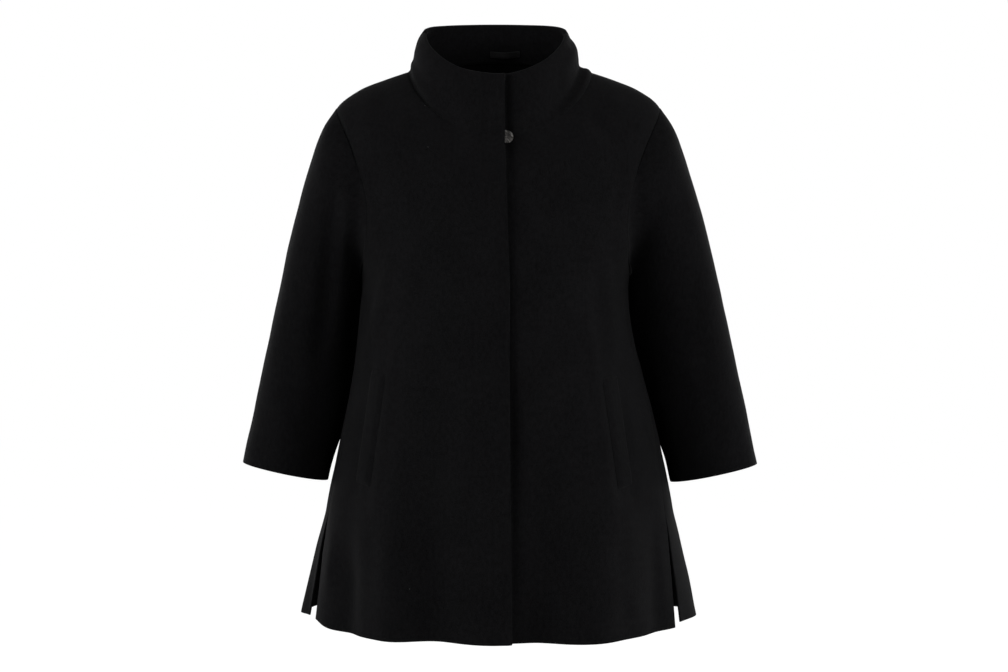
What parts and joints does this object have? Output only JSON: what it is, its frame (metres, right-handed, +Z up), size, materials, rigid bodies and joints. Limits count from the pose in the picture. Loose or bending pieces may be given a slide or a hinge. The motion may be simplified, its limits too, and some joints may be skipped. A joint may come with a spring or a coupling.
{
  "type": "overcoat",
  "caption": "Black brushed-wool swing overcoat with a stand collar, three-quarter set-in sleeves, a fly front, slanted welt pockets and open side slits, filled out as worn.",
  "frame": {"origin": "midway between the two side neck points, where the coat rests on its wearer", "axes": "+Z up, -Y out of the coat's front, +X to the wearer's left"},
  "size_m": [0.699, 0.3822, 0.8241],
  "materials": {
    "coat_wool": "matt black brushed wool with a fine raised nap",
    "button_horn": "dark streaked horn look, soft gloss",
    "loop_tape": "smooth woven black tape"
  },
  "bodies": {
    "root": {"front_right": "coat_wool", "front_left": "coat_wool", "back": "coat_wool", "sleeve_right": "coat_wool", "sleeve_left": "coat_wool", "collar": "coat_wool", "pocket_welt_right": "coat_wool", "pocket_welt_left": "coat_wool", "button": "button_horn", "hanger_loop": "loop_tape"}
  },
  "joints": []
}
